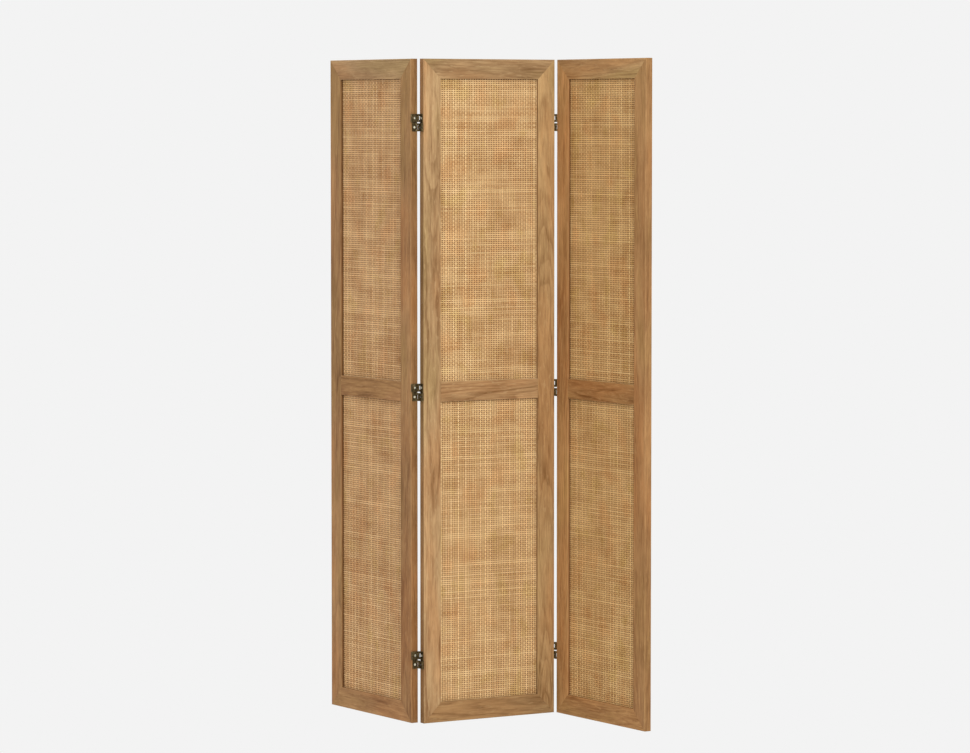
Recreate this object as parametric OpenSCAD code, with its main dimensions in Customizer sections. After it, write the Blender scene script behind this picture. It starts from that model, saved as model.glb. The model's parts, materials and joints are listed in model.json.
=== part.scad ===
// Folding room divider screen: three framed cane panels joined by two-way crossed-link hinges.
// Each panel is drawn upright about its own bottom centre, front towards -Y, and then put in its
// place. The row's origin is the bottom centre of the middle panel.

/* [Screen] */
// Height of the panels
panel_h = 1800; // [1500:10:2100]
// Width of one panel
panel_w = 410; // [360:5:500]
// Thickness of the frame
frame_t = 21; // [19:0.5:26]
// Fold between neighbouring panels, counted from flat
fold_angle = 85.5; // [0:0.5:180]
// Turn of the middle panel out of the screen's run
middle_turn = 29.6; // [0:0.1:60]

/* [Frame] */
// Face width of the stiles
stile_w = 53; // [42:1:64]
// Face width of the top rail
top_rail_w = 54; // [42:1:70]
// Face width of the middle rail
middle_rail_w = 54; // [42:1:70]
// Face width of the bottom rail
bottom_rail_w = 55; // [42:1:80]
// Height of the middle rail's centre line
middle_rail_z = 900; // [800:1:1000]
// Chamfer along the long edges of the frame members
edge_chamfer = 0.8; // [0.4:0.1:1.5]

/* [Infill] */
// Thickness of the backing board in each opening
board_t = 4; // [3:0.5:6]
// Thickness of the cane sheet on each face of a board
cane_t = 1.2; // [0.8:0.1:1.6]
// Depth of the groove that holds board and cane
groove_d = 6; // [4:0.5:8]
// Gap between the board's edge and the bottom of the groove
groove_play = 1; // [0.5:0.1:2]

/* [Dowels] */
// Diameter of the dowels
dowel_d = 8; // [6:1:10]
// Length of the dowels
dowel_l = 34; // [24:1:36]

/* [Hinges] */
// Gap between the edges of neighbouring panels
gap_w = 8.4; // [8.4:0.1:10]
// Height of the hinges at the ends, from the end of the panel to the hinge's middle
hinge_inset = 172; // [120:1:300]
// Height of half a hinge, which holds one link
hinge_half_h = 23.5; // [22:0.5:30]
// Thickness of the leaves
leaf_t = 1.5; // [1.2:0.1:1.6]
// Thickness of the links
link_t = 1.5; // [1.2:0.1:1.8]
// Distance of the pin lines beyond the panel's faces
pin_stand = 0.25; // [0.2:0.05:0.5]
// Diameter of the pins
pin_d = 2.5; // [2:0.1:2.8]
// Outer diameter of the knuckles
knuckle_d = 5.2; // [4.8:0.1:5.4]
// Radial clearance between a pin and a link's knuckle
pin_play = 0.05; // [0.02:0.01:0.1]

/* [Screws] */
// Diameter of the screw's shank
screw_d = 3.5; // [3:0.1:4]
// Diameter of the countersunk head
screw_head_d = 6.5; // [6:0.1:7]
// Length of the screw
screw_l = 16; // [12:1:20]
// Hole in a link through which the screw is reached
access_d = 8; // [7:0.1:9]

/* [Hidden] */
$fn = 48;

// Panels, and the two sides that a panel or a fold can be on.
LEFT = 0;
MIDDLE = 1;
RIGHT = 2;
FRONT = -1;
BACK = 1;

// Colours of the pieces.
wood_colour = "#b58a58";
board_colour = "#8a6238";
cane_colour = "#d8b27c";
dowel_colour = "#c9a06c";
leaf_colour = "#5a4e36";
link_colour = "#4a4232";
pin_colour = "#3a352b";
screw_colour = "#c9c7bd";

// Openings of the frame: the lowest and highest point of each.
lower_opening = [bottom_rail_w, middle_rail_z - middle_rail_w / 2];
upper_opening = [middle_rail_z + middle_rail_w / 2, panel_h - top_rail_w];
groove_w = board_t + 2 * cane_t;
board_edge = groove_d - groove_play;

// Hinges: the flat hinge stands about the middle of the gap, outer leaf towards -X.
half_gap = gap_w / 2;
pin_y = frame_t / 2 + pin_stand;
leaf_y = pin_y - 3.75;
link_y = pin_y - knuckle_d / 2 - 0.75;
hinge_heights = [hinge_inset, panel_h / 2, panel_h - hinge_inset];
half_foot = 1.5;
knuckle_gap = 0.3;
leaf_knuckle_h = 6;
link_knuckle_z = half_foot + leaf_knuckle_h + knuckle_gap;
link_knuckle_h = hinge_half_h - 2 * link_knuckle_z + half_foot;
screw_z = (half_foot + hinge_half_h) / 2;
slot_w = 1;
slot_d = 1.2;
cut = 1;

// ---- Places -----------------------------------------------------------------------------------

// The gap of the left (0) or right (1) fold, with the middle panel towards its +X.
module at_fold(side) {
    rotate([0, 0, middle_turn + 180 * side])
        translate([-panel_w / 2 - half_gap, 0, 0])
            children();
}

// What the outer panel of a fold carries: turned about the pins at the back of the flat fold.
module folded() {
    translate([0, pin_y, 0])
        rotate([0, 0, -fold_angle])
            translate([0, -pin_y, 0])
                children();
}

// A panel's own frame: bottom centre at the origin, front towards -Y.
module at_panel(panel) {
    if (panel == MIDDLE)
        rotate([0, 0, middle_turn])
            children();
    else
        at_fold(panel / 2)
            folded()
                translate([-half_gap - panel_w / 2, 0, 0])
                    rotate([0, 0, 90 * panel])
                        children();
}

// The hinges of one fold, each with its middle at the origin.
module at_hinges(side, outer) {
    for (z = hinge_heights)
        translate([0, 0, z])
            at_fold(side)
                if (outer)
                    folded()
                        children();
                else
                    children();
}

// Turns the outer half of a flat hinge into its inner half.
module inner_half() {
    rotate([0, 0, 180])
        children();
}

// The lower half of a hinge is its upper half upside down.
module lower_half() {
    mirror([0, 0, 1])
        children();
}

// ---- Frame members ----------------------------------------------------------------------------

// Upright member from the floor: outer edge at x = 0, grooved inner edge at x = width.
module member(width, length, grooves) {
    half = frame_t / 2;
    c = edge_chamfer;
    difference() {
        linear_extrude(length)
            polygon([[c, -half], [width - c, -half], [width, c - half], [width, half - c],
                [width - c, half], [c, half], [0, half - c], [0, c - half]]);
        for (x = grooves)
            translate([x - groove_d, -groove_w / 2, -cut])
                cube([2 * groove_d, groove_w, length + 2 * cut]);
    }
}

// Prism through the panel's thickness, from an outline in x and z.
module face_prism(outline) {
    rotate([90, 0, 0])
        translate([0, 0, -frame_t])
            linear_extrude(2 * frame_t)
                polygon(outline);
}

// Holes for the screws in the edge of a stile that meets a fold, at +X or -X.
module edge_screw_holes(direction) {
    for (z = hinge_heights, half = [-1, 1])
        translate([direction * (panel_w / 2 - screw_l + leaf_t), 0, z + half * screw_z])
            rotate([0, 90 * direction, 0])
                cylinder(h = screw_l, d = screw_d);
}

// Stile at -X or +X, mitred at both ends, with screw holes where a hinge is fastened.
module stile(direction, hinged) {
    x = panel_w / 2;
    color(wood_colour)
        difference() {
            mirror([direction > 0 ? 1 : 0, 0, 0])
                intersection() {
                    translate([-x, 0, 0])
                        member(stile_w, panel_h, [stile_w]);
                    face_prism([[-x, 0], [stile_w - x, bottom_rail_w],
                        [stile_w - x, panel_h - top_rail_w], [-x, panel_h]]);
                }
            if (hinged)
                edge_screw_holes(direction);
            dowel_set();
        }
}

// Bottom rail, mitred at both ends. The top rail is the same upside down.
module end_rail(width) {
    x = panel_w / 2;
    intersection() {
        translate([-x, 0, 0])
            mirror([1, 0, -1])
                member(width, panel_w, [width]);
        face_prism([[-x, 0], [x, 0], [x - stile_w, width], [stile_w - x, width]]);
    }
}

module bottom_rail() {
    color(wood_colour)
        difference() {
            end_rail(bottom_rail_w);
            dowel_set();
        }
}

module top_rail() {
    color(wood_colour)
        difference() {
            translate([0, 0, panel_h])
                mirror([0, 0, 1])
                    end_rail(top_rail_w);
            dowel_set();
        }
}

// Middle rail, butted between the stiles and grooved on both edges.
module middle_rail() {
    length = panel_w - 2 * stile_w;
    color(wood_colour)
        difference() {
            translate([-length / 2, 0, middle_rail_z - middle_rail_w / 2])
                mirror([1, 0, -1])
                    member(middle_rail_w, length, [0, middle_rail_w]);
            dowel_set();
        }
}

// ---- Dowels -----------------------------------------------------------------------------------

// Two dowels square to the mitre of a corner whose members are stile_w and rail_w wide.
module corner_dowels(rail_w) {
    slope = atan2(rail_w, stile_w);
    for (part = [0.36, 0.64])
        translate([part * stile_w, 0, part * rail_w])
            rotate([0, -slope, 0])
                cylinder(h = dowel_l, d = dowel_d, center = true);
}

// All dowels of one panel: two at each mitre and two at each end of the middle rail.
module dowel_set() {
    x = panel_w / 2;
    for (side = [0, 1])
        mirror([side, 0, 0]) {
            translate([-x, 0, 0])
                corner_dowels(bottom_rail_w);
            translate([-x, 0, panel_h])
                mirror([0, 0, 1])
                    corner_dowels(top_rail_w);
            for (z = [-0.25, 0.25] * middle_rail_w)
                translate([stile_w - x, 0, middle_rail_z + z])
                    rotate([0, 90, 0])
                        cylinder(h = dowel_l, d = dowel_d, center = true);
        }
}

module dowels() {
    color(dowel_colour)
        dowel_set();
}

// ---- Infill -----------------------------------------------------------------------------------

// Sheet that fills an opening and its grooves, between two depths.
module sheet(opening, near_y, thickness) {
    length = panel_w - 2 * stile_w + 2 * board_edge;
    translate([-length / 2, near_y, opening[0] - board_edge])
        cube([length, thickness, opening[1] - opening[0] + 2 * board_edge]);
}

module board(opening) {
    color(board_colour)
        sheet(opening, -board_t / 2, board_t);
}

module cane(opening, face) {
    near_y = face == FRONT ? -board_t / 2 - cane_t : board_t / 2;
    color(cane_colour)
        sheet(opening, near_y, cane_t);
}

// ---- Hinges -----------------------------------------------------------------------------------

// Two knuckles of a leaf in the upper half of a hinge, on the pins at the front.
module leaf_knuckles() {
    for (z = [half_foot, hinge_half_h - leaf_knuckle_h])
        translate([0, 0, z])
            difference() {
                linear_extrude(leaf_knuckle_h)
                    union() {
                        translate([0, -pin_y])
                            circle(d = knuckle_d);
                        polygon([[-half_gap, -leaf_y + 3], [-half_gap, -leaf_y],
                            [-1.9, -pin_y - 1.6], [0, -pin_y], [-1.2, -pin_y + 2.2],
                            [leaf_t - half_gap, -leaf_y + 3]]);
                    }
                translate([0, -pin_y, -cut])
                    cylinder(h = leaf_knuckle_h + 2 * cut, d = pin_d);
            }
}

// Outer leaf: a plate on the panel's edge with knuckles at the front above and the back below.
module leaf() {
    difference() {
        union() {
            translate([-half_gap, -leaf_y, -hinge_half_h])
                cube([leaf_t, 2 * leaf_y, 2 * hinge_half_h]);
            leaf_knuckles();
            lower_half()
                mirror([0, 1, 0])
                    leaf_knuckles();
        }
        for (half = [-1, 1])
            translate([-half_gap, 0, half * screw_z])
                rotate([0, 90, 0])
                    cylinder(h = leaf_t, d1 = screw_d, d2 = screw_head_d);
    }
}

// Upper link: a plate with a knuckle on the front pin and one on the back pin.
module link() {
    plate_z = half_foot + knuckle_gap;
    difference() {
        union() {
            translate([-link_t / 2, -link_y, plate_z])
                cube([link_t, 2 * link_y, hinge_half_h - plate_z - knuckle_gap]);
            translate([-link_t / 2, -pin_y, link_knuckle_z])
                cube([link_t, 2 * pin_y, link_knuckle_h]);
            for (y = [-pin_y, pin_y])
                translate([0, y, link_knuckle_z])
                    cylinder(h = link_knuckle_h, d = knuckle_d);
        }
        for (y = [-pin_y, pin_y])
            translate([0, y, link_knuckle_z - cut])
                cylinder(h = link_knuckle_h + 2 * cut, d = pin_d + 2 * pin_play);
        translate([-link_t, 0, screw_z])
            rotate([0, 90, 0])
                cylinder(h = 2 * link_t, d = access_d);
    }
}

// Pin through the front knuckles of the upper half, held by the leaf.
module pin() {
    translate([0, -pin_y, half_foot])
        cylinder(h = hinge_half_h - half_foot, d = pin_d);
}

// Two short pins, one in each front knuckle of the leaf, which leave the link free.
module pin_stubs() {
    for (z = [half_foot, hinge_half_h - leaf_knuckle_h])
        translate([0, -pin_y, z])
            cylinder(h = leaf_knuckle_h, d = pin_d);
}

// Countersunk wood screw in the outer leaf, with its head towards +X and a cross recess.
module screw() {
    difference() {
        union() {
            translate([-half_gap, 0, 0])
                rotate([0, 90, 0])
                    cylinder(h = leaf_t, d1 = screw_d, d2 = screw_head_d);
            translate([leaf_t - half_gap - screw_l, 0, 0])
                rotate([0, 90, 0])
                    cylinder(h = screw_l - leaf_t, d = screw_d);
        }
        for (turn = [0, 90])
            rotate([turn, 0, 0])
                translate([leaf_t - half_gap - slot_d, -screw_d / 2, -slot_w / 2])
                    cube([2 * slot_d, screw_d, slot_w]);
    }
}

module screws() {
    for (half = [-1, 1])
        translate([0, 0, half * screw_z])
            screw();
}

module outer_leaves(side) {
    color(leaf_colour)
        at_hinges(side, true)
            leaf();
}

module inner_leaves(side) {
    color(leaf_colour)
        at_hinges(side, false)
            inner_half()
                leaf();
}

// Upper links turn with the outer panel while the screen folds this way.
module upper_links(side) {
    color(link_colour)
        at_hinges(side, true)
            link();
}

// Lower links stay with the middle panel while the screen folds this way.
module lower_links(side) {
    color(link_colour)
        at_hinges(side, false)
            lower_half()
                link();
}

module upper_outer_pins(side) {
    color(pin_colour)
        at_hinges(side, true)
            pin();
}

module upper_inner_pins(side) {
    color(pin_colour)
        at_hinges(side, false)
            inner_half()
                pin();
}

module lower_outer_pins(side) {
    color(pin_colour)
        at_hinges(side, true)
            lower_half()
                mirror([0, 1, 0])
                    pin_stubs();
}

module lower_inner_pins(side) {
    color(pin_colour)
        at_hinges(side, false)
            inner_half()
                lower_half()
                    mirror([0, 1, 0])
                        pin();
}

module outer_screws(side) {
    color(screw_colour)
        at_hinges(side, true)
            screws();
}

module inner_screws(side) {
    color(screw_colour)
        at_hinges(side, false)
            inner_half()
                screws();
}

// ---- Nodes ------------------------------------------------------------------------------------

at_panel(LEFT) stile(-1, false);  // left_panel_left_stile
at_panel(LEFT) stile(1, true);  // left_panel_right_stile
at_panel(LEFT) top_rail();  // left_panel_top_rail
at_panel(LEFT) middle_rail();  // left_panel_middle_rail
at_panel(LEFT) bottom_rail();  // left_panel_bottom_rail
at_panel(LEFT) board(upper_opening);  // left_panel_upper_board
at_panel(LEFT) board(lower_opening);  // left_panel_lower_board
at_panel(LEFT) cane(upper_opening, FRONT);  // left_panel_front_upper_cane
at_panel(LEFT) cane(lower_opening, FRONT);  // left_panel_front_lower_cane
at_panel(LEFT) cane(upper_opening, BACK);  // left_panel_back_upper_cane
at_panel(LEFT) cane(lower_opening, BACK);  // left_panel_back_lower_cane
at_panel(LEFT) dowels();  // left_panel_dowels
at_panel(MIDDLE) stile(-1, true);  // middle_panel_left_stile
at_panel(MIDDLE) stile(1, true);  // middle_panel_right_stile
at_panel(MIDDLE) top_rail();  // middle_panel_top_rail
at_panel(MIDDLE) middle_rail();  // middle_panel_middle_rail
at_panel(MIDDLE) bottom_rail();  // middle_panel_bottom_rail
at_panel(MIDDLE) board(upper_opening);  // middle_panel_upper_board
at_panel(MIDDLE) board(lower_opening);  // middle_panel_lower_board
at_panel(MIDDLE) cane(upper_opening, FRONT);  // middle_panel_front_upper_cane
at_panel(MIDDLE) cane(lower_opening, FRONT);  // middle_panel_front_lower_cane
at_panel(MIDDLE) cane(upper_opening, BACK);  // middle_panel_back_upper_cane
at_panel(MIDDLE) cane(lower_opening, BACK);  // middle_panel_back_lower_cane
at_panel(MIDDLE) dowels();  // middle_panel_dowels
at_panel(RIGHT) stile(-1, true);  // right_panel_left_stile
at_panel(RIGHT) stile(1, false);  // right_panel_right_stile
at_panel(RIGHT) top_rail();  // right_panel_top_rail
at_panel(RIGHT) middle_rail();  // right_panel_middle_rail
at_panel(RIGHT) bottom_rail();  // right_panel_bottom_rail
at_panel(RIGHT) board(upper_opening);  // right_panel_upper_board
at_panel(RIGHT) board(lower_opening);  // right_panel_lower_board
at_panel(RIGHT) cane(upper_opening, FRONT);  // right_panel_front_upper_cane
at_panel(RIGHT) cane(lower_opening, FRONT);  // right_panel_front_lower_cane
at_panel(RIGHT) cane(upper_opening, BACK);  // right_panel_back_upper_cane
at_panel(RIGHT) cane(lower_opening, BACK);  // right_panel_back_lower_cane
at_panel(RIGHT) dowels();  // right_panel_dowels
outer_leaves(0);  // left_hinge_outer_leaves
inner_leaves(0);  // left_hinge_inner_leaves
upper_links(0);  // left_hinge_upper_links
lower_links(0);  // left_hinge_lower_links
upper_outer_pins(0);  // left_hinge_upper_outer_pins
upper_inner_pins(0);  // left_hinge_upper_inner_pins
lower_outer_pins(0);  // left_hinge_lower_outer_pins
lower_inner_pins(0);  // left_hinge_lower_inner_pins
outer_screws(0);  // left_hinge_outer_screws
inner_screws(0);  // left_hinge_inner_screws
outer_leaves(1);  // right_hinge_outer_leaves
inner_leaves(1);  // right_hinge_inner_leaves
upper_links(1);  // right_hinge_upper_links
lower_links(1);  // right_hinge_lower_links
upper_outer_pins(1);  // right_hinge_upper_outer_pins
upper_inner_pins(1);  // right_hinge_upper_inner_pins
lower_outer_pins(1);  // right_hinge_lower_outer_pins
lower_inner_pins(1);  // right_hinge_lower_inner_pins
outer_screws(1);  // right_hinge_outer_screws
inner_screws(1);  // right_hinge_inner_screws
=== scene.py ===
"""Folding room divider screen: three cane panels in mitred wooden frames, joined by two-way hinges.

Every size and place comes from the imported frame. Each panel is made in its own frame, with its
bottom centre at the origin, X across the panel, Y towards its back and Z up, and is then put in
its place in the row.
"""

import json
import math
import random
from itertools import product
from typing import NamedTuple

import bmesh
import bpy
from mathutils import Matrix, Vector


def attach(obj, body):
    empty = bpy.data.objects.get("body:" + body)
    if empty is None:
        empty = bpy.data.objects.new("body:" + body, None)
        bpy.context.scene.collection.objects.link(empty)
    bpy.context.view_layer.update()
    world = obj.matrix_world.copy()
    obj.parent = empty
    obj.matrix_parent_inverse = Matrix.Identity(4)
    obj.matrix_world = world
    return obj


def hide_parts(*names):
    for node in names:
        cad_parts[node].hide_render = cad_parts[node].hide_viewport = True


bl_info = {
    "name": "Cane Room Divider",
    "version": (1, 0, 0),
    "blender": (4, 5, 0),
    "location": "3D View > Sidebar > Screen",
    "description": "Makes the looks of a folding room divider screen around its packed frame",
    "category": "Object",
}

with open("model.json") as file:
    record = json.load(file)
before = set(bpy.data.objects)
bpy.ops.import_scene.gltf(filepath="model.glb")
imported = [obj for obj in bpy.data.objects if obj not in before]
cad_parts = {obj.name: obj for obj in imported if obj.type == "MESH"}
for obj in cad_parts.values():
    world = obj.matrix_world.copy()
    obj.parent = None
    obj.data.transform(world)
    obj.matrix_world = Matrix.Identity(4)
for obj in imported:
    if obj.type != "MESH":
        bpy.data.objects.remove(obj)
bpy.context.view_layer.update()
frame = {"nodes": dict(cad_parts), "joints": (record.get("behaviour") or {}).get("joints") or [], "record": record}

MM = 0.001
PANELS = ("left", "middle", "right")
FOLDS = ("left", "right")
LEVELS = ("upper", "lower")
FACES = ("front", "back")

# The pin lines at a panel's front and back, which give the panel's own axes.
PIN_LINES = {
    "left": ("left_counter_fold", "left_fold"),
    "middle": ("left_lower_links_swing", "left_fold"),
    "right": ("right_fold", "right_counter_fold"),
}
JOINT_PLACES = {j["name"]: Vector(j["pos_m"]) for j in frame["joints"]}
MOUNT_PLACES = {m["name"]: Vector(m["pos_m"]) for m in frame["record"]["mounts"]}


# ---- Places ------------------------------------------------------------------------------------

def panel_place(panel):
    """The matrix from a panel's own frame to the row frame."""
    front, back = (JOINT_PLACES[name] for name in PIN_LINES[panel])
    y = (back - front).normalized()
    z = Vector((0, 0, 1))
    x = y.cross(z)
    turn = Matrix((x, y, z)).transposed().to_4x4()
    return Matrix.Translation(MOUNT_PLACES[f"base_{panel}"]) @ turn


PLACES = {panel: panel_place(panel) for panel in PANELS}


def panel_box(panel, part):
    """The lowest and highest corner of a panel's CAD node, in the panel's own frame."""
    to_panel = PLACES[panel].inverted()
    points = [to_panel @ v.co for v in frame["nodes"][f"{panel}_panel_{part}"].data.vertices]
    low = Vector([min(p[i] for p in points) for i in range(3)])
    high = Vector([max(p[i] for p in points) for i in range(3)])
    return low, high


def opening_box(panel, level):
    """The upper or lower opening of a panel's frame, in the panel's own frame."""
    left = panel_box(panel, "left_stile")[1].x
    right = panel_box(panel, "right_stile")[0].x
    middle = panel_box(panel, "middle_rail")
    if level == "upper":
        low, high = middle[1].z, panel_box(panel, "top_rail")[0].z
    else:
        low, high = panel_box(panel, "bottom_rail")[1].z, middle[0].z
    return (left, low), (right, high)


# ---- Node trees --------------------------------------------------------------------------------

class Field:
    """A socket of a node tree. Arithmetic on fields adds Math nodes."""

    def __init__(self, tree, socket):
        self.tree = tree
        self.socket = socket

    def __add__(self, other):
        return self.tree.math("ADD", self, other)

    def __radd__(self, other):
        return self.tree.math("ADD", other, self)

    def __sub__(self, other):
        return self.tree.math("SUBTRACT", self, other)

    def __rsub__(self, other):
        return self.tree.math("SUBTRACT", other, self)

    def __mul__(self, other):
        return self.tree.math("MULTIPLY", self, other)

    def __rmul__(self, other):
        return self.tree.math("MULTIPLY", other, self)

    def __truediv__(self, other):
        return self.tree.math("DIVIDE", self, other)

    def __rtruediv__(self, other):
        return self.tree.math("DIVIDE", other, self)

    def __pow__(self, other):
        return self.tree.math("POWER", self, other)

    def __rpow__(self, other):
        return self.tree.math("POWER", other, self)

    def __mod__(self, other):
        return self.tree.math("FLOORED_MODULO", self, other)

    def __rmod__(self, other):
        return self.tree.math("FLOORED_MODULO", other, self)


def swing(noise, weight):
    """A noise between 0 and 1 as a weighted swing to either side of 0."""
    return (noise - 0.5) * weight


class Tree:
    """A node tree that is written as calls and expressions."""

    def __init__(self, nodes):
        self.nodes = nodes.nodes
        self.links = nodes.links

    def node(self, kind, settings=None, inputs=None, output=0):
        """Adds a node: its settings first, then its sockets, by name or number.

        A socket is given a value, a Field, or a list of Fields where it takes several links.
        """
        made = self.nodes.new(kind)
        for name, value in (settings or {}).items():
            setattr(made, name, value)
        for name, value in (inputs or {}).items():
            socket = made.inputs[name]
            if isinstance(value, list):
                for part in value:
                    self.links.new(part.socket, socket)
            elif isinstance(value, Field):
                self.links.new(value.socket, socket)
            else:
                socket.default_value = value
        return Field(self, made.outputs[output]) if output is not None else None

    def math(self, operation, *values):
        """A Math node with these values on its sockets."""
        return self.node("ShaderNodeMath", {"operation": operation}, dict(enumerate(values)))

    def clamp(self, value):
        return self.node("ShaderNodeClamp", inputs={"Value": value})

    def band(self, value, low, high):
        """0 below low, 1 above high, and smooth between them."""
        return self.node(
            "ShaderNodeMapRange",
            {"interpolation_type": "SMOOTHSTEP"},
            {"Value": value, "From Min": low, "From Max": high},
        )

    def vector(self, x, y, z):
        return self.node("ShaderNodeCombineXYZ", inputs={"X": x, "Y": y, "Z": z})

    def parts(self, vector):
        made = self.node("ShaderNodeSeparateXYZ", inputs={"Vector": vector})
        return tuple(Field(self, made.socket.node.outputs[i]) for i in range(3))

    def scaled(self, vector, x, y, z):
        """A vector with each of its parts multiplied by a number."""
        return self.node(
            "ShaderNodeVectorMath", {"operation": "MULTIPLY"}, {0: vector, 1: (x, y, z)}
        )

    def noise(self, vector, scale=1.0, detail=2.0, roughness=0.5):
        return self.node(
            "ShaderNodeTexNoise",
            inputs={"Vector": vector, "Scale": scale, "Detail": detail, "Roughness": roughness},
        )


class Finish(Tree):
    """A material, with its Principled shader in self.shader.

    Values that are the same all over are given as keywords, with _ for a space.
    """

    def __init__(self, name, **constants):
        self.material = bpy.data.materials.new(name)
        self.material.use_nodes = True
        super().__init__(self.material.node_tree)
        self.shader = next(n for n in self.nodes if n.type == "BSDF_PRINCIPLED")
        for socket, value in constants.items():
            self.shader.inputs[socket.replace("_", " ")].default_value = value

    def attribute(self, name, output="Vector"):
        return self.node("ShaderNodeAttribute", {"attribute_name": name}, output=output)

    def mix(self, factor, first, second, blend="MIX"):
        """The first colour, with the second mixed or multiplied in by the factor."""
        return self.node(
            "ShaderNodeMix",
            {"data_type": "RGBA", "blend_type": blend},
            {"Factor": factor, "A": first, "B": second},
            output="Result",
        )

    def feed(self, socket, value):
        """Links a field to one of the shader's sockets."""
        self.links.new(value.socket, self.shader.inputs[socket])

    def bump(self, height, distance, strength):
        """Raises and sinks the surface by a field, up to the distance in metres."""
        made = self.node(
            "ShaderNodeBump", inputs={"Height": height, "Distance": distance, "Strength": strength}
        )
        self.feed("Normal", made)


def rgb(red, green, blue):
    """A display colour, 0 to 255, as the linear colour that a shader takes."""
    def linear(value):
        value /= 255
        return value / 12.92 if value <= 0.04045 else ((value + 0.055) / 1.055) ** 2.4
    return (linear(red), linear(green), linear(blue), 1.0)


# ---- Finishes ----------------------------------------------------------------------------------

def wood_finish(settings):
    """Oiled oak: growth rings about each member's own heart, fibres, pores and slow colour shifts, with painted
    shade in the openings and a painted highlight on the rounded edges.
    """
    f = Finish("oiled_oak", Specular_IOR_Level=0.12)
    along, across, depth = f.parts(f.attribute("grain"))
    arris = f.attribute("arris", "Fac")
    edge = f.attribute("edge", "Fac")
    stain = f.attribute("stain", "Fac")

    def stretched(lengthwise, crosswise, detail, **look):
        """Noise with this many marks to the metre along the grain and across it."""
        spot = f.vector(along * lengthwise, across * crosswise, depth * crosswise)
        return f.noise(spot, detail=detail, **look)

    # Growth rings: how far a spot is from the heart, bent a little, counted in rings.
    bend = stretched(2.2, 9.0, 3.0)
    ripple = stretched(9.0, 60.0, 2.0)
    reach = (across ** 2.0 + depth ** 2.0) ** 0.5 + bend * 0.030 + ripple * 0.0035
    phase = reach * (1.0 / settings.ring_pitch)
    ring = phase % 1.0
    # Some rings are strong and some are faint, and each fades and returns along the board.
    strength = f.noise(f.vector((phase - ring) * 0.73, along * 0.8, 0.0), detail=1.0)
    early = (1.0 - f.band(ring, 0.10, 0.65)) * f.band(ring, 0.0, 0.10) * f.band(strength, 0.3, 0.7)

    # Marks along the grain, from the finest to the broadest.
    pore = f.band(stretched(45.0, 1500.0, 1.0), 0.60, 0.72)
    fibres = stretched(9.0, 480.0, 3.0)
    lines = stretched(24.0, 200.0, 3.0)
    flecks = stretched(40.0, 170.0, 2.0)
    streaks = stretched(9.0, 70.0, 3.0)
    clouds = stretched(8.0, 34.0, 4.0, roughness=0.6)
    hues = f.noise(f.vector(along * 2.4 + 7.0, across * 11.0, depth * 11.0), detail=3.0)
    drift = stretched(1.9, 9.0, 1.0)

    dark_share = f.clamp(
        0.41 + early * 0.28 + swing(streaks, 0.5) + swing(lines, 0.6) + swing(fibres, 0.8)
        + swing(clouds, 0.8) + swing(drift, 0.9)
    )
    body = f.mix(dark_share, tuple(settings.light_wood), tuple(settings.dark_wood))
    body = f.mix(f.band(hues, 0.46, 0.66), body, tuple(settings.red_wood), "MULTIPLY")
    body = f.mix(1.0 - f.band(hues, 0.34, 0.50), body, tuple(settings.olive_wood), "MULTIPLY")
    body = f.mix(f.band(flecks, 0.58, 0.72) * 0.28, body, tuple(settings.fleck_and_highlight))
    body = f.mix(pore * 0.30, body, tuple(settings.pore))
    # Painted highlight along the rounded edges, in the pale fleck colour.
    body = f.mix(arris * 0.20, body, tuple(settings.fleck_and_highlight))
    # Each member's tint: its board's tone, and a lightness that is partly painted shade.
    body = f.mix(1.0, body, f.attribute("tint"), "MULTIPLY")
    body = f.mix(edge, body, tuple(settings.edge_stain), "MULTIPLY")
    # Painted shade down the walls of the openings and in the grooves, standing in for the shade of the recess.
    body = f.mix(stain, body, tuple(settings.painted_recess_shade), "MULTIPLY")
    f.feed("Base Color", body)
    f.feed("Roughness", 0.56 + pore * 0.15 + swing(fibres, 0.16))
    f.bump(fibres * 0.6 - pore * 0.8 - early * 0.25, 0.00025, 0.6)
    return f.material


def cane_finish(settings):
    """Natural rattan peel: each strand has a tone of its own, with fibres and stains along it."""
    f = Finish("rattan_peel", Specular_IOR_Level=0.2)
    across, along, strand = f.parts(f.attribute("fibre"))
    tone = f.attribute("tone", "Fac")
    under = 1.0 - f.attribute("height", "Fac")
    spot = f.node("ShaderNodeTexCoord", output="Object")

    lines = f.noise(f.vector(across * 2600.0, along * 40.0, strand * 17.0), detail=2.0)
    stains = f.noise(f.vector(strand * 31.0, along * 11.0, 0.0), detail=2.0)
    clouds = f.noise(f.scaled(spot, 10.0, 10.0, 16.0), detail=4.0, roughness=0.6)
    hues = f.noise(f.scaled(spot, 16.0, 16.0, 13.0), detail=3.0)

    light_share = f.clamp(
        0.40 + tone ** 3.0 * 0.62 + swing(stains, 1.3) + swing(clouds, 1.2) + swing(lines, 0.3)
    )
    body = f.mix(light_share, tuple(settings.dark_cane), tuple(settings.light_cane))
    body = f.mix(f.band(hues, 0.50, 0.70) * 0.5, body, tuple(settings.red_cane), "MULTIPLY")
    body = f.mix((1.0 - f.band(hues, 0.32, 0.46)) * 0.7, body, tuple(settings.olive_cane), "MULTIPLY")
    # Painted shade in the crevices, where a strand dips under the one it crosses.
    body = f.mix(under * 0.55, body, tuple(settings.painted_crevice_shade), "MULTIPLY")
    body = f.mix(1.0, body, f.attribute("tint"), "MULTIPLY")
    f.feed("Base Color", body)
    f.feed("Roughness", 0.46 + swing(lines, 0.2))
    f.bump(lines, 0.0001, 0.5)
    return f.material


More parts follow.
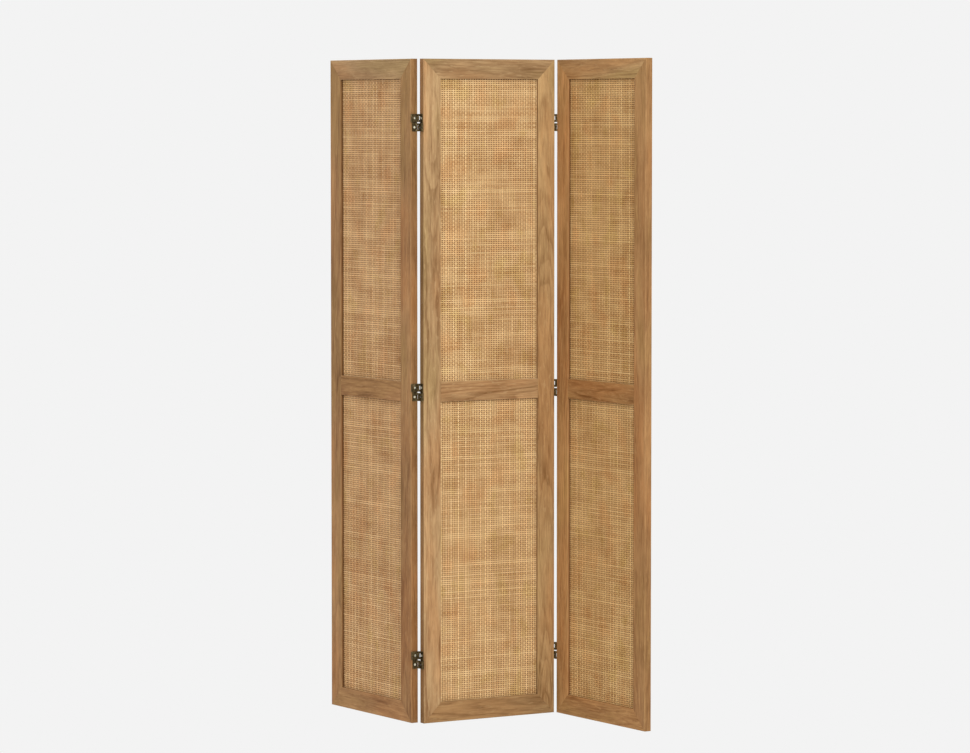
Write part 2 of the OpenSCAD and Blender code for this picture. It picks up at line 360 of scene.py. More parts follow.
def board_finish(settings):
    """Brown backing board, seen only through the weave."""
    f = Finish("backing_board")
    spot = f.node("ShaderNodeTexCoord", output="Object")
    specks = f.noise(f.scaled(spot, 300.0, 300.0, 300.0), detail=3.0)
    clouds = f.noise(f.scaled(spot, 12.0, 12.0, 12.0), detail=2.0)
    share = f.clamp(specks * 0.5 + clouds * 0.5)
    f.feed("Base Color", f.mix(share, tuple(settings.dark_board), tuple(settings.light_board)))
    f.feed("Roughness", 0.8 + specks * 0.15)
    return f.material


def dowel_finish():
    """Plain beech of the dowels inside the joints."""
    f = Finish("beech_dowel")
    spot = f.node("ShaderNodeTexCoord", output="Object")
    flecks = f.noise(f.scaled(spot, 400.0, 400.0, 400.0), detail=3.0)
    f.feed("Base Color", f.mix(flecks, rgb(178, 138, 94), rgb(214, 178, 132)))
    f.feed("Roughness", 0.6 + flecks * 0.2)
    return f.material


def bronze_finish(settings):
    """Antique bronze plating: dark and mottled, rubbed brighter in places."""
    f = Finish("antique_bronze", Metallic=0.85)
    spot = f.node("ShaderNodeTexCoord", output="Object")
    mottle = f.noise(f.scaled(spot, 260.0, 260.0, 260.0), detail=4.0, roughness=0.6)
    rubbed = f.noise(f.scaled(spot, 90.0, 90.0, 90.0), detail=2.0)
    body = f.mix(f.band(mottle, 0.35, 0.7), tuple(settings.dark_bronze), tuple(settings.bronze))
    body = f.mix(f.band(rubbed, 0.55, 0.8) * 0.5, body, tuple(settings.rubbed_bronze))
    f.feed("Base Color", body)
    f.feed("Roughness", 0.34 + mottle * 0.25)
    f.bump(mottle, 0.00008, 0.4)
    return f.material


def steel_finish(name, bright, dull, metallic):
    """Plated steel of the pins and the screws."""
    f = Finish(name, Metallic=metallic)
    spot = f.node("ShaderNodeTexCoord", output="Object")
    haze = f.noise(f.scaled(spot, 500.0, 500.0, 500.0), detail=3.0)
    f.feed("Base Color", f.mix(haze, bright, dull))
    f.feed("Roughness", 0.22 + haze * 0.2)
    return f.material


# ---- Pieces ------------------------------------------------------------------------------------

def link_object(name, data):
    """A new object in the scene, with this mesh, light or camera."""
    made = bpy.data.objects.new(name, data)
    bpy.context.scene.collection.objects.link(made)
    return made


def dress(node_name, material):
    """Gives a CAD node a material on its own slots."""
    node = frame["nodes"][node_name]
    if not node.material_slots:
        node.data.materials.append(None)
    for slot in node.material_slots:
        slot.link = "OBJECT"
        slot.material = material


def store(mesh, name, kind, values):
    """Adds a point attribute to a mesh."""
    layer = mesh.attributes.new(name, kind, "POINT")
    field = "vector" if kind == "FLOAT_VECTOR" else "value"
    flat = [part for value in values for part in value] if field == "vector" else values
    layer.data.foreach_set(field, flat)


def corner_arc(corner, inward, radius, steps):
    """Points of a rounded corner, from its first side to its second. inward points along each."""
    (ax, ay), (bx, by) = inward
    centre_x = corner[0] + (ax + bx) * radius
    centre_y = corner[1] + (ay + by) * radius
    points = []
    for i in range(steps + 1):
        turn = i / steps * math.pi / 2
        points.append((
            centre_x - bx * radius * math.cos(turn) - ax * radius * math.sin(turn),
            centre_y - by * radius * math.cos(turn) - ay * radius * math.sin(turn),
        ))
    return points


# How much a side of a member belongs to the panel's outer edge, and how much painted shade it gets for lying down
# in an opening or a groove.
FACE_SIDE = (0.0, 0.0)
OUTER_SIDE = (1.0, 0.0)
OPENING_SIDE = (0.0, 0.35)
GROOVE_SIDE = (0.0, 1.0)

HIGHLIGHT_REACH = 2.2  # how far from a corner its painted highlight ends, in radii of the rounding
SHARP_ANGLE = math.radians(40)


class Section:
    """The outline of a frame member across its length, from its outer edge (0) to its inner edge.

    Each point is (across, depth, arris, edge, recess shade). The marks say how far a point is on a rounded arris,
    which gets a painted highlight, on the panel's outer edge, or down inside an opening, which gets painted shade.
    """

    def __init__(self, width, half, groove, settings, both):
        """groove is half its height and its depth. both says that there is one on each edge."""
        self.points = []
        self.radius = settings.arris_radius
        self.steps = settings.arris_steps
        lip, deep = groove
        outer = OPENING_SIDE if both else OUTER_SIDE
        self.corner(0.0, -half, ((0, 1), (1, 0)), outer, FACE_SIDE)
        self.corner(width, -half, ((-1, 0), (0, 1)), FACE_SIDE, OPENING_SIDE)
        self.groove(width, -lip, width - deep)
        self.corner(width, half, ((0, -1), (-1, 0)), OPENING_SIDE, FACE_SIDE)
        self.corner(0.0, half, ((1, 0), (0, -1)), FACE_SIDE, outer)
        if both:
            self.groove(0.0, lip, deep)

    def corner(self, x, y, inward, first, last):
        """A rounded corner between two points where its painted highlight ends. first and last are the sides'
        marks.
        """
        past_highlight = self.radius * HIGHLIGHT_REACH
        (ax, ay), (bx, by) = inward
        self.points.append((x + ax * past_highlight, y + ay * past_highlight, 0.0, *first))
        arc = corner_arc((x, y), inward, self.radius, self.steps)
        for i, (px, py) in enumerate(arc):
            share = i / self.steps
            marks = [p + (q - p) * share for p, q in zip(first, last)]
            self.points.append((px, py, 1.0, *marks))
        self.points.append((x + bx * past_highlight, y + by * past_highlight, 0.0, *last))

    def groove(self, mouth, lip, floor):
        """A square groove from its mouth to its floor, between lip and the same on the other side."""
        for x, y in ((mouth, lip), (floor, lip), (floor, -lip), (mouth, -lip)):
            self.points.append((x, y, 0.0, *GROOVE_SIDE))


class Heart(NamedTuple):
    """Where the centre of a member's growth rings lies, from the member's outer edge and middle.

    The drifts are how far it moves to the metre. start is where along the pattern the member is cut.
    """

    across: float
    drift_across: float
    depth: float
    drift_depth: float
    start: float


# Members with a figure of nested arches.
FIGURED_BOARDS = {
    "middle_right_stile_wood": Heart(
        across=0.026, drift_across=0.004, depth=0.012, drift_depth=0.030, start=3.0
    ),
}


def heart_of(name, width):
    """The heart of a member: chosen for a figured board, else drawn from its name."""
    if name in FIGURED_BOARDS:
        return FIGURED_BOARDS[name]
    pick = random.Random("heart of " + name)
    return Heart(
        across=pick.uniform(-0.6, 1.6) * width,
        drift_across=pick.uniform(-0.03, 0.03),
        depth=pick.uniform(0.035, 0.090),
        drift_depth=pick.choice((-1, 1)) * pick.uniform(0.010, 0.035),
        start=pick.uniform(-40, 40),
    )


def member(name, place, section, origin, along, across, length, slopes, seam, tint):
    """A frame member: its section run along it, each end cut back by slope times the width."""
    along, across = Vector(along), Vector(across)
    width = max(point[0] for point in section.points)
    heart = heart_of(name, width)
    count = len(section.points)
    points, grain, marks = [], [], []
    for end in (0, 1):
        for u, v, *rest in section.points:
            run = slopes[0] * u + seam if end == 0 else length - slopes[1] * u - seam
            points.append(place @ (Vector(origin) + along * run + across * u + Vector((0, v, 0))))
            grain.append((
                run + heart.start,
                u - heart.across - heart.drift_across * run,
                v - heart.depth - heart.drift_depth * run,
            ))
            marks.append(rest)
    faces = [tuple(range(count)), tuple(range(count, 2 * count))]
    for i in range(count):
        j = (i + 1) % count
        faces.append((i, j, count + j, count + i))

    mesh = bpy.data.meshes.new(name)
    mesh.from_pydata(points, [], faces)
    store(mesh, "grain", "FLOAT_VECTOR", grain)
    store(mesh, "tint", "FLOAT_VECTOR", [tint] * len(points))
    for number, mark in enumerate(("arris", "edge", "stain")):
        store(mesh, mark, "FLOAT", [values[number] for values in marks])
    shape = bmesh.new()
    shape.from_mesh(mesh)
    bmesh.ops.recalc_face_normals(shape, faces=shape.faces)
    for face in shape.faces:
        face.smooth = True
    shape.to_mesh(mesh)
    shape.free()
    mesh.set_sharp_from_angle(angle=SHARP_ANGLE)
    return link_object(name, mesh)


# The tones that the boards are sorted into, as tints of the plain finish.
BOARD_TONES = {
    "grey": (1.0, 1.0, 0.97),
    "straw": (1.0, 0.98, 0.87),
    "golden": (1.0, 0.88, 0.70),
    "brown": (1.0, 0.88, 0.74),
    "ruddy": (1.0, 0.84, 0.72),
}

# The board that each member is cut from: its tone, and how light it is. The lightness is partly the board's own
# and partly painted shade on the members that lie in shade.
MEMBER_TONES_AND_SHADE = {
    "left": {
        "left_stile": ("brown", 0.75),
        "right_stile": ("brown", 0.75),
        "top_rail": ("grey", 0.80),
        "middle_rail": ("ruddy", 0.85),
        "bottom_rail": ("brown", 0.80),
    },
    "middle": {
        "left_stile": ("grey", 0.85),
        "right_stile": ("straw", 0.85),
        "top_rail": ("grey", 0.75),
        "middle_rail": ("grey", 0.85),
        "bottom_rail": ("straw", 0.65),
    },
    "right": {
        "left_stile": ("golden", 0.95),
        "right_stile": ("brown", 0.80),
        "top_rail": ("straw", 0.85),
        "middle_rail": ("golden", 0.85),
        "bottom_rail": ("golden", 0.95),
    },
}


def member_tint(panel, part):
    """The tint of the board that a member is cut from, whose lightness also holds painted shade."""
    tone, lightness_and_shade = MEMBER_TONES_AND_SHADE[panel][part]
    return tuple(share * lightness_and_shade for share in BOARD_TONES[tone])


def frame_members(panel, settings):
    """The five members of a panel's frame, by the part that each stands for."""
    left_low, left_high = panel_box(panel, "left_stile")
    top_low, top_high = panel_box(panel, "top_rail")
    bottom_low, bottom_high = panel_box(panel, "bottom_rail")
    middle_low, middle_high = panel_box(panel, "middle_rail")
    cane_low, cane_high = panel_box(panel, "back_upper_cane")
    half_w = -left_low.x
    height = left_high.z
    stile_w = left_high.x - left_low.x
    top_w = top_high.z - top_low.z
    bottom_w = bottom_high.z - bottom_low.z
    middle_w = middle_high.z - middle_low.z
    groove = (cane_high.y, left_high.x - cane_low.x + settings.groove_play)
    up, right, down, left = (0, 0, 1), (1, 0, 0), (0, 0, -1), (-1, 0, 0)
    ends = (bottom_w / stile_w, top_w / stile_w)
    mid_length = middle_high.x - middle_low.x
    rows = {
        "left_stile": ((-half_w, 0, 0), up, right, height, stile_w, ends),
        "right_stile": ((half_w, 0, 0), up, left, height, stile_w, ends),
        "bottom_rail": ((-half_w, 0, 0), right, up, 2 * half_w, bottom_w, (1 / ends[0],) * 2),
        "top_rail": ((-half_w, 0, height), right, down, 2 * half_w, top_w, (1 / ends[1],) * 2),
        "middle_rail": ((middle_low.x, 0, middle_low.z), right, up, mid_length, middle_w, (0, 0)),
    }
    made = {}
    for part, (origin, along, across, length, width, slopes) in rows.items():
        section = Section(width, left_high.y, groove, settings, part == "middle_rail")
        made[part] = member(
            f"{panel}_{part}_wood", PLACES[panel], section, origin, along, across, length, slopes,
            settings.seam / 2, member_tint(panel, part),
        )
    return made


# ---- Weave -------------------------------------------------------------------------------------

class Growth(Tree):
    """A Geometry Nodes tree with named inputs."""

    def __init__(self, name, inputs):
        self.group = bpy.data.node_groups.new(name, "GeometryNodeTree")
        self.group.is_modifier = True
        super().__init__(self.group)
        self.group.interface.new_socket("Geometry", in_out="OUTPUT", socket_type="NodeSocketGeometry")
        self.identifiers = {}
        for label, kind in inputs.items():
            socket = self.group.interface.new_socket(label, in_out="INPUT", socket_type=kind)
            self.identifiers[label] = socket.identifier
        self.given = self.nodes.new("NodeGroupInput")
        self.taken = self.nodes.new("NodeGroupOutput")

    def value(self, label):
        """One of the tree's named inputs."""
        return Field(self, self.given.outputs[label])

    def end(self, geometry):
        """Links the finished geometry to the tree's output."""
        self.links.new(geometry.socket, self.taken.inputs["Geometry"])

    def random(self, low, high, spot, seed):
        """A number between low and high, drawn for each spot."""
        return self.node(
            "FunctionNodeRandomValue", {"data_type": "FLOAT"},
            {"Min": low, "Max": high, "ID": spot, "Seed": seed}, output="Value",
        )

    def keep(self, geometry, name, kind, value, domain):
        """Stores a named attribute on a geometry."""
        return self.node(
            "GeometryNodeStoreNamedAttribute", {"data_type": kind, "domain": domain},
            {"Geometry": geometry, "Name": name, "Value": value},
        )


RIDGE_SHARE = 2 / 3  # the ridge of a strand's section lies this share of its thickness off its axis

# Added to the weave's seed, so that each kind of draw is its own.
LEVEL_SEED = 50
WIDTH_SEED = 7
TONE_SEED = 13

SAMPLES_PER_CROSSING = 2
SAMPLE_OFFSET = 0.25  # samples lie this share of a pitch to each side of a crossing's middle
WIDER_SHARE = 0.6  # the widest strand gains this share of what the narrowest loses
SWAY_SCALE = 9.0  # slow bends of the strands, in bends to the metre
LEVEL_NUMBERS = 1000  # the level strands' numbers start here, clear of the upright ones
LEVEL_LOW = 0.75  # "height" of a level strand where it dips, which sets its painted crevice shade: it gets less of it than an upright one


def straight_lines(g, runs_up, own_pitch, cross_pitch, own, crossed):
    """Straight lines up or across the field, each sampled at both sides of every crossing."""
    def place(along, sideways):
        return g.vector(sideways, along, 0.0) if runs_up else g.vector(along, sideways, 0.0)

    first, last = cross_pitch * SAMPLE_OFFSET, (crossed - SAMPLE_OFFSET) * cross_pitch
    line = g.node(
        "GeometryNodeCurvePrimitiveLine", inputs={"Start": place(first, 0.0), "End": place(last, 0.0)}
    )
    line = g.node(
        "GeometryNodeResampleCurve", inputs={"Curve": line, "Count": crossed * SAMPLES_PER_CROSSING}
    )
    places = g.node(
        "GeometryNodeMeshLine",
        inputs={
            "Count": own,
            "Start Location": place(0.0, own_pitch * 0.5),
            "Offset": place(0.0, own_pitch),
        },
    )
    lines = g.node("GeometryNodeInstanceOnPoints", inputs={"Points": places, "Instance": line})
    return g.node("GeometryNodeRealizeInstances", inputs={"Geometry": lines})


def woven_lines(g, runs_up, lines, own_pitch):
    """The lines bent over and under what they cross, each with its number, tone and thickness."""
    seed = g.value("Seed") + (0 if runs_up else LEVEL_SEED)
    strand = g.node(
        "GeometryNodeFieldOnDomain", {"data_type": "INT", "domain": "CURVE"},
        {"Value": g.node("GeometryNodeInputIndex")},
    )
    point = g.node("GeometryNodeSplineParameter", output="Index")
    crossing = g.math("FLOOR", point * (1.0 / SAMPLES_PER_CROSSING))
    over = (crossing + strand + (0 if runs_up else 1)) % 2.0
    lift = (over * 2.0 - 1.0) * g.value("Lift")
    side = g.random(-1.0, 1.0, strand, seed) * own_pitch * g.value("Unevenness")
    sway = g.noise(g.node("GeometryNodeInputPosition"), scale=SWAY_SCALE) - 0.5
    side = side + sway * own_pitch * g.value("Unevenness") * 2.0
    shift = g.vector(side, 0.0, lift) if runs_up else g.vector(0.0, side, lift)
    lines = g.node("GeometryNodeSetPosition", inputs={"Geometry": lines, "Offset": shift})
    lines = g.node("GeometryNodeSetCurveNormal", {"mode": "Z_UP"}, {"Curve": lines})

    play = g.value("Width play")
    radius = g.random(1.0 - play, 1.0 + play * WIDER_SHARE, strand, seed + WIDTH_SEED)
    lines = g.node("GeometryNodeSetCurveRadius", inputs={"Curve": lines, "Radius": radius})
    lines = g.keep(lines, "tone", "FLOAT", g.random(0.0, 1.0, strand, seed + TONE_SEED), "CURVE")
    number = strand + (0 if runs_up else LEVEL_NUMBERS)
    lines = g.keep(lines, "strand", "FLOAT", number, "CURVE")
    # The "height" mark sets how much painted crevice shade the cane's finish puts on each point.
    height = over if runs_up else LEVEL_LOW + over * (1.0 - LEVEL_LOW)
    return g.keep(lines, "height", "FLOAT", height, "POINT")


def strand_section(g, width):
    """A strand's section: a triangle with its flat side up and its ridge towards the board."""
    section = g.node("GeometryNodeCurvePrimitiveCircle", inputs={"Resolution": 3, "Radius": 1.0})
    section = g.node(
        "GeometryNodeTransform",
        inputs={"Geometry": section, "Rotation": (0.0, 0.0, -math.pi / 2)},
    )
    scale = g.vector(width / math.sqrt(3), g.value("Thickness") * RIDGE_SHARE, 1.0)
    return g.node("GeometryNodeTransform", inputs={"Geometry": section, "Scale": scale})


def strands(g, runs_up):
    """One set of parallel strands, up or across the field, as a closed mesh.

    They lie in the XY plane with the field's corner at the origin, and pass over and under.
    """
    upright = (g.value("Column pitch"), g.value("Columns"))
    level = (g.value("Row pitch"), g.value("Rows"))
    (own_pitch, own), (cross_pitch, crossed) = (upright, level) if runs_up else (level, upright)
    lines = straight_lines(g, runs_up, own_pitch, cross_pitch, own, crossed)
    lines = woven_lines(g, runs_up, lines, own_pitch)
    section = strand_section(g, g.value("Column width" if runs_up else "Row width"))
    body = g.node(
        "GeometryNodeCurveToMesh",
        inputs={"Curve": lines, "Profile Curve": section, "Fill Caps": True},
    )
    number = g.node(
        "GeometryNodeInputNamedAttribute", {"data_type": "FLOAT"}, {"Name": "strand"}
    )
    x, y, _ = g.parts(g.node("GeometryNodeInputPosition"))
    fibre = g.vector(x, y, number) if runs_up else g.vector(y, x, number)
    return g.keep(body, "fibre", "FLOAT_VECTOR", fibre, "POINT")


WEAVE_INPUTS = {
    "Columns": "NodeSocketInt",
    "Rows": "NodeSocketInt",
    "Column pitch": "NodeSocketFloat",
    "Row pitch": "NodeSocketFloat",
    "Column width": "NodeSocketFloat",
    "Row width": "NodeSocketFloat",
    "Thickness": "NodeSocketFloat",
    "Lift": "NodeSocketFloat",
    "Unevenness": "NodeSocketFloat",
    "Width play": "NodeSocketFloat",
    "Seed": "NodeSocketInt",
    "Material": "NodeSocketMaterial",
}


def weave_tree():
    """The tree that weaves a flat field of rattan strands."""
    g = Growth("rattan_weave", WEAVE_INPUTS)
    both = g.node("GeometryNodeJoinGeometry", inputs={"Geometry": [strands(g, True), strands(g, False)]})
    both = g.node("GeometryNodeRealizeInstances", inputs={"Geometry": both})
    both = g.node("GeometryNodeSetShadeSmooth", inputs={"Geometry": both, "Shade Smooth": False})
    g.end(g.node("GeometryNodeSetMaterial", inputs={"Geometry": both, "Material": g.value("Material")}))
    return g


def grown(name, tree, values, place):
    """The mesh that a tree makes with these inputs, put in its place, as a plain object."""
    host = link_object(name + "_host", bpy.data.meshes.new(name + "_host"))
    modifier = host.modifiers.new("tree", "NODES")
    modifier.node_group = tree.group
    for label, value in values.items():
        modifier[tree.identifiers[label]] = value
    graph = bpy.context.evaluated_depsgraph_get()
    mesh = bpy.data.meshes.new_from_object(host.evaluated_get(graph), depsgraph=graph)
    host_mesh = host.data
    bpy.data.objects.remove(host)
    bpy.data.meshes.remove(host_mesh)
    if not mesh.polygons:
        raise RuntimeError(f"the tree made no faces for {name}")
    mesh.name = name
    mesh.transform(place)
    return link_object(name, mesh)


# Each field's seed, far enough apart that no two share a draw.
FIRST_SEED = 1
SEED_STEP = 100

# How the cane of each panel differs in colour.
CANE_TINTS = {"left": (1.02, 1.0, 1.03), "middle": (0.99, 1.0, 1.02), "right": (0.98, 0.98, 0.91)}


def cane_field(panel, level, face, tree, settings, material, seed):
    """One woven field, on the board behind one face of a panel's opening."""
    (left, low), (right, high) = opening_box(panel, level)
    board = panel_box(panel, f"{level}_board")
    left_spare, right_spare, low_spare, high_spare = settings.overlaps
    if face == "back":
        left_spare, right_spare = right_spare, left_spare
    left, right = left - left_spare, right + right_spare
    low, high = low - low_spare, high + high_spare
    wide, tall = right - left, high - low
    columns = round(wide / settings.column_pitch)
    rows = round(tall / settings.row_pitch[PANELS.index(panel)])
    values = {
        "Columns": columns,
        "Rows": rows,
        "Column pitch": wide / columns,
        "Row pitch": tall / rows,
        "Column width": settings.column_width,
        "Row width": settings.row_width,
        "Thickness": settings.strand_thickness,
        "Lift": settings.lift,
        "Unevenness": settings.unevenness,
        "Width play": settings.width_play,
        "Seed": seed,
        "Material": material,
    }
    # The ridges of the strands that dip touch the board.
    stand = settings.lift + settings.strand_thickness * RIDGE_SHARE
    corner = Matrix.Translation((-wide / 2, -tall / 2, stand))
    upright = Matrix.Rotation(math.pi / 2, 4, "X")
    centre = Vector(((left + right) / 2, 0, (low + high) / 2))
    if face == "front":
        turn, depth = Matrix.Identity(4), board[0].y
    else:
        turn, depth = Matrix.Rotation(math.pi, 4, "Z"), board[1].y
    place = Matrix.Translation(centre + Vector((0, depth, 0))) @ turn @ upright @ corner
    name = f"{panel}_{face}_{level}_weave"
    field = grown(name, tree, values, PLACES[panel] @ place)
    store(field.data, "tint", "FLOAT_VECTOR", [CANE_TINTS[panel]] * len(field.data.vertices))
    return field


# ---- Settings ----------------------------------------------------------------------------------

def length_property(name, description, default):
    return bpy.props.FloatProperty(
        name=name, description=description, default=default, min=0.0, precision=5,
        unit="LENGTH", subtype="DISTANCE",
    )


def colour_property(name, description, default):
    return bpy.props.FloatVectorProperty(
        name=name, description=description, default=default, size=4, min=0.0, max=1.0,
        subtype="COLOR",
    )


class ScreenFrameSettings(bpy.types.PropertyGroup):
    arris_radius: length_property("Edge radius", "Rounding of the members' long edges", 1.2 * MM)
    arris_steps: bpy.props.IntProperty(
        name="Edge steps", description="Faces across each rounded edge", default=3, min=1, max=8
    )
    seam: length_property("Joint seam", "Width of the fine line at each joint", 0.25 * MM)
    groove_play: length_property("Groove play", "Room between the board and its groove", 1.0 * MM)
    ring_pitch: length_property("Ring pitch", "Distance between the wood's growth rings", 5.0 * MM)
    light_wood: colour_property("Light wood", "Smooth wood between the rings", rgb(206, 166, 120))
    dark_wood: colour_property("Dark wood", "Ring lines and streaks", rgb(126, 88, 52))
    red_wood: colour_property("Red wood", "Tint of the redder patches", rgb(255, 242, 233))
    olive_wood: colour_property("Olive wood", "Tint of the greener patches", rgb(245, 250, 240))
    # Its pale colour also paints the highlight along the rounded edges.
    fleck_and_highlight: colour_property("Fleck", "Pale rays and worn edges", rgb(212, 176, 130))
    pore: colour_property("Pore", "Open pores", rgb(100, 68, 40))
    edge_stain: colour_property("Edge stain", "Tint of the outer edges", rgb(228, 222, 214))
    # Painted shade: the tint that darkens the walls down in the openings, where shade falls.
    painted_recess_shade: colour_property("Recess stain", "Tint down in the openings", rgb(150, 120, 96))


class ScreenWeaveSettings(bpy.types.PropertyGroup):
    column_pitch: length_property("Column pitch", "Distance between upright strands", 7.6 * MM)
    row_pitch: bpy.props.FloatVectorProperty(
        name="Row pitch", description="Distance between level strands on each panel",
        default=(5.69 * MM, 5.5 * MM, 5.7 * MM), unit="LENGTH", precision=5,
    )
    column_width: length_property("Column width", "Width of an upright strand", 4.6 * MM)
    row_width: length_property("Row width", "Width of a level strand", 3.15 * MM)
    strand_thickness: length_property("Thickness", "Thickness of a strand", 0.9 * MM)
    lift: length_property("Lift", "Rise of a strand over the one it crosses", 0.15 * MM)
    overlaps: bpy.props.FloatVectorProperty(
        name="Overlaps", description="How far the weave runs into the grooves: left, right, low, high",
        default=(6.1 * MM, 3.8 * MM, 2.75 * MM, 4.4 * MM), size=4, unit="LENGTH", precision=5,
    )
    unevenness: bpy.props.FloatProperty(
        name="Unevenness", description="How far strands wander, as a share of their pitch",
        default=0.012, min=0.0, max=0.2, subtype="FACTOR",
    )
    width_play: bpy.props.FloatProperty(
        name="Width play", description="How much narrower the narrowest strand is",
        default=0.10, min=0.0, max=0.5, subtype="FACTOR",
    )
    light_cane: colour_property("Light cane", "Palest strands", rgb(228, 189, 135))
    dark_cane: colour_property("Dark cane", "Darkest strands", rgb(174, 127, 75))
    red_cane: colour_property("Red cane", "Tint of the warmer patches", rgb(255, 236, 220))
    # Painted shade: the tint that darkens a strand where it dips, as if shaded by the strands over it.
    painted_crevice_shade: colour_property("Crevice", "Tint where a strand dips", rgb(176, 146, 118))
    olive_cane: colour_property("Olive cane", "Tint of the greener patches", rgb(244, 244, 222))
    light_board: colour_property("Light board", "Lighter flecks of the board", rgb(96, 58, 28))
    dark_board: colour_property("Dark board", "Darker flecks of the board", rgb(58, 33, 15))


class ScreenHingeSettings(bpy.types.PropertyGroup):
    bronze: colour_property("Bronze", "Lighter plating", rgb(110, 92, 58))
    dark_bronze: colour_property("Dark bronze", "Darker plating", rgb(58, 46, 27))
    rubbed_bronze: colour_property("Rubbed bronze", "Plating rubbed bright", rgb(150, 128, 92))
    pin: colour_property("Pin", "Pins of the hinges", rgb(92, 84, 68))
    dull_pin: colour_property("Dull pin", "Haze on the pins", rgb(60, 54, 44))
    screw: colour_property("Screw", "Bright plating of the screws", rgb(246, 238, 214))
    dull_screw: colour_property("Dull screw", "Haze on the screws", rgb(222, 214, 190))


class ScreenStageSettings(bpy.types.PropertyGroup):
    eye_place: bpy.props.FloatVectorProperty(
        name="Eye", description="Place of the camera", default=(-0.0076, -10.5686, 1.6382),
        subtype="TRANSLATION", unit="LENGTH",
    )
    eye_tilt: bpy.props.FloatProperty(
        name="Tilt", description="How far the camera looks down", default=math.radians(3.26),
        subtype="ANGLE", unit="ROTATION",
    )
    lens: bpy.props.FloatProperty(
        name="Lens", description="Focal length of the camera", default=144.1, unit="CAMERA"
    )
    rise: bpy.props.FloatProperty(
        name="Rise", description="Shift of the lens, as a share of the picture's width",
        default=-0.0376,
    )
    backdrop: colour_property("Backdrop", "Floor and surroundings as seen", rgb(243, 243, 243))
    key: bpy.props.FloatProperty(
        name="Key", description="Power of the large soft light", default=250.0, min=0.0,
        unit="POWER",
    )
    fill_share: bpy.props.FloatProperty(
        name="Fill share", description="Power of the light behind, as a share of the key",
        default=0.7, min=0.0, max=1.0, subtype="FACTOR",
    )
    key_place: bpy.props.FloatVectorProperty(
        name="Key place", description="Place of the large soft light", default=(2.2, -5.2, 3.4),
        subtype="TRANSLATION", unit="LENGTH",
    )
    key_size: length_property("Key size", "Width of the large soft light", 3.5)
    key_colour: colour_property("Key colour", "Colour of the large soft light", rgb(238, 250, 255))


# ---- Operators ---------------------------------------------------------------------------------

class SCREEN_OT_frames(bpy.types.Operator):
    """Makes the stiles and rails of the three frames"""

    bl_idname = "screen.make_frames"
    bl_label = "Frames"

    def execute(self, context):
        settings = context.scene.screen_frame
        wood = wood_finish(settings)
        for panel in PANELS:
            for part, piece in frame_members(panel, settings).items():
                piece.data.materials.append(wood)
                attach(piece, f"panel_{panel}")
                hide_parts(f"{panel}_panel_{part}")
        return {"FINISHED"}


class SCREEN_OT_boards(bpy.types.Operator):
    """Finishes the backing boards and the dowels, which keep their CAD shapes"""

    bl_idname = "screen.finish_boards"
    bl_label = "Boards and dowels"

    def execute(self, context):
        board = board_finish(context.scene.screen_weave)
        dowel = dowel_finish()
        for panel in PANELS:
            for level in LEVELS:
                dress(f"{panel}_panel_{level}_board", board)
            dress(f"{panel}_panel_dowels", dowel)
        return {"FINISHED"}


class SCREEN_OT_cane(bpy.types.Operator):
    """Weaves the cane fields on both faces of each panel"""

    bl_idname = "screen.weave_cane"
    bl_label = "Cane"

    def execute(self, context):
        settings = context.scene.screen_weave
        material = cane_finish(settings)
        tree = weave_tree()
        for number, (panel, level, face) in enumerate(product(PANELS, LEVELS, FACES)):
            seed = FIRST_SEED + number * SEED_STEP
            piece = cane_field(panel, level, face, tree, settings, material, seed)
            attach(piece, f"panel_{panel}")
            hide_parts(f"{panel}_panel_{face}_{level}_cane")
        return {"FINISHED"}


class SCREEN_OT_hinges(bpy.types.Operator):
    """Finishes the hinges' leaves, links and pins"""

    bl_idname = "screen.finish_hinges"
    bl_label = "Hinges"

    def execute(self, context):
        settings = context.scene.screen_hinge
        bronze = bronze_finish(settings)
        pin = steel_finish("dark_pin", tuple(settings.pin), tuple(settings.dull_pin), 1.0)
        for fold in FOLDS:
            for part in ("outer_leaves", "inner_leaves", "upper_links", "lower_links"):
                dress(f"{fold}_hinge_{part}", bronze)
            for level, side in product(LEVELS, ("outer", "inner")):
                dress(f"{fold}_hinge_{level}_{side}_pins", pin)
        return {"FINISHED"}


class SCREEN_OT_screws(bpy.types.Operator):
    """Finishes the screws of the hinges"""

    bl_idname = "screen.finish_screws"
    bl_label = "Screws"

    def execute(self, context):
        settings = context.scene.screen_hinge
        screw = steel_finish("bright_screw", tuple(settings.screw), tuple(settings.dull_screw), 0.4)
        for fold, side in product(FOLDS, ("outer", "inner")):
            dress(f"{fold}_hinge_{side}_screws", screw)
        return {"FINISHED"}


class SCREEN_OT_stage(bpy.types.Operator):
    """Makes the camera, the plain pale floor and the soft studio light"""

    bl_idname = "screen.make_stage"
    bl_label = "Stage"

    def execute(self, context):
        settings = context.scene.screen_stage
        context.scene.view_settings.view_transform = "Standard"
        make_camera(settings)
        make_surroundings(settings)
        make_floor(settings)
        make_lights(settings)
        return {"FINISHED"}


SENSOR_WIDTH = 36.0  # millimetres
SIGHT_REACH = 100.0
FLOOR_REACH = 40.0
LIT_HEIGHT = 1.0  # the lights are aimed at this height in the middle of the screen


def make_camera(settings):
    """A camera in front of the screen, level from side to side, looking slightly down."""
    lens = bpy.data.cameras.new("camera")
    lens.lens = settings.lens
    lens.sensor_width = SENSOR_WIDTH
    lens.shift_y = settings.rise
    lens.clip_end = SIGHT_REACH
    camera = link_object("camera", lens)
    camera.location = settings.eye_place
    camera.rotation_euler = (math.pi / 2 - settings.eye_tilt, 0, 0)
    bpy.context.scene.camera = camera


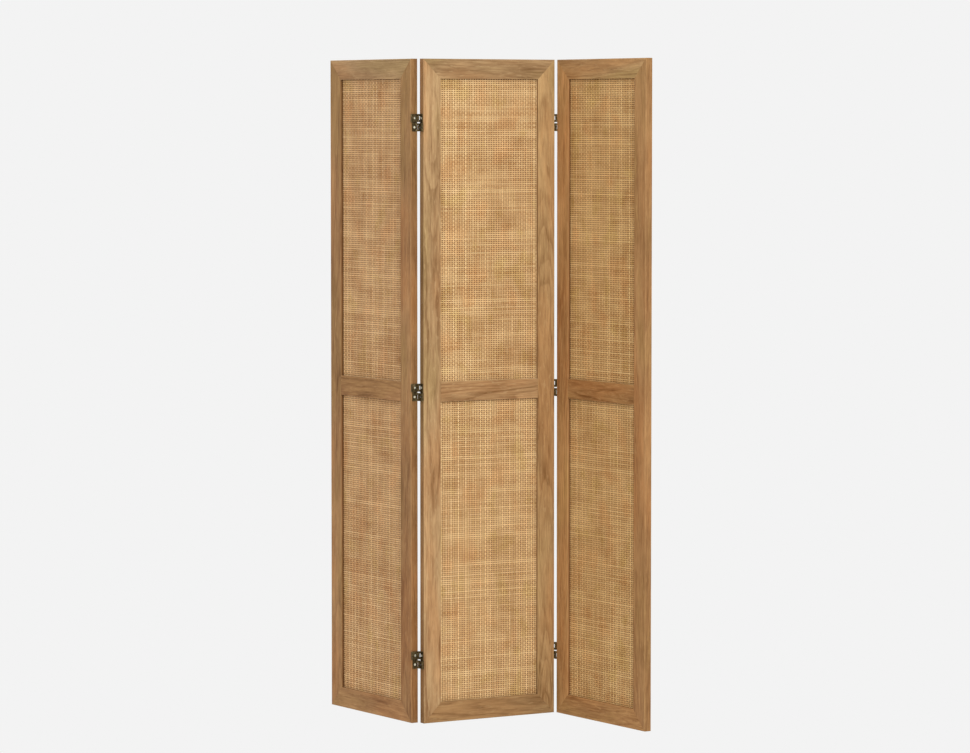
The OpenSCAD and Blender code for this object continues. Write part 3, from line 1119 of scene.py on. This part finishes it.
def make_surroundings(settings):
    """Even pale light from all round, which is also the backdrop."""
    world = bpy.data.worlds.new("surroundings")
    world.use_nodes = True
    background = next(n for n in world.node_tree.nodes if n.type == "BACKGROUND")
    background.inputs["Color"].default_value = tuple(settings.backdrop)
    bpy.context.scene.world = world


def make_floor(settings):
    """A plain pale floor that glows as evenly as the backdrop."""
    mesh = bpy.data.meshes.new("floor")
    corners = [(x * FLOOR_REACH, y * FLOOR_REACH, 0) for x, y in ((-1, -1), (1, -1), (1, 1), (-1, 1))]
    mesh.from_pydata(corners, [], [(0, 1, 2, 3)])
    floor = link_object("floor", mesh)
    material = bpy.data.materials.new("pale_floor")
    material.use_nodes = True
    tree = Tree(material.node_tree)
    tree.nodes.clear()
    glow = tree.node("ShaderNodeEmission", inputs={"Color": tuple(settings.backdrop)})
    tree.node("ShaderNodeOutputMaterial", inputs={"Surface": glow}, output=None)
    mesh.materials.append(material)


def make_lights(settings):
    """A large soft light in front, to the right and above, and a weaker one behind, across from it."""
    target = Vector((0, 0, LIT_HEIGHT))
    x, y, z = settings.key_place
    for name, side, share in (("key", 1, 1.0), ("fill", -1, settings.fill_share)):
        light = bpy.data.lights.new(name, "AREA")
        light.shape = "SQUARE"
        light.size = settings.key_size
        light.energy = settings.key * share
        light.color = settings.key_colour[:3]
        lamp = link_object(name, light)
        lamp.location = (x * side, y * side, z)
        lamp.rotation_euler = (target - lamp.location).to_track_quat("-Z", "Y").to_euler()


# ---- Panel and registration --------------------------------------------------------------------

STEPS = (
    SCREEN_OT_stage,
    SCREEN_OT_frames,
    SCREEN_OT_boards,
    SCREEN_OT_cane,
    SCREEN_OT_hinges,
    SCREEN_OT_screws,
)


class SCREEN_PT_sidebar(bpy.types.Panel):
    """Lists the screen's pieces and the stage"""

    bl_idname = "SCREEN_PT_sidebar"
    bl_label = "Room divider"
    bl_space_type = "VIEW_3D"
    bl_region_type = "UI"
    bl_category = "Screen"

    def draw(self, context):
        for step in STEPS:
            self.layout.operator(step.bl_idname)


GROUPS = {
    "screen_frame": ScreenFrameSettings,
    "screen_weave": ScreenWeaveSettings,
    "screen_hinge": ScreenHingeSettings,
    "screen_stage": ScreenStageSettings,
}


def register():
    for made in (*GROUPS.values(), *STEPS, SCREEN_PT_sidebar):
        bpy.utils.register_class(made)
    for name, group in GROUPS.items():
        setattr(bpy.types.Scene, name, bpy.props.PointerProperty(type=group))


def unregister():
    for name in GROUPS:
        delattr(bpy.types.Scene, name)
    for made in reversed((*GROUPS.values(), *STEPS, SCREEN_PT_sidebar)):
        bpy.utils.unregister_class(made)


def main():
    register()
    for step in STEPS:
        group, name = step.bl_idname.split(".")
        getattr(getattr(bpy.ops, group), name)()


if __name__ == "__main__":
    main()
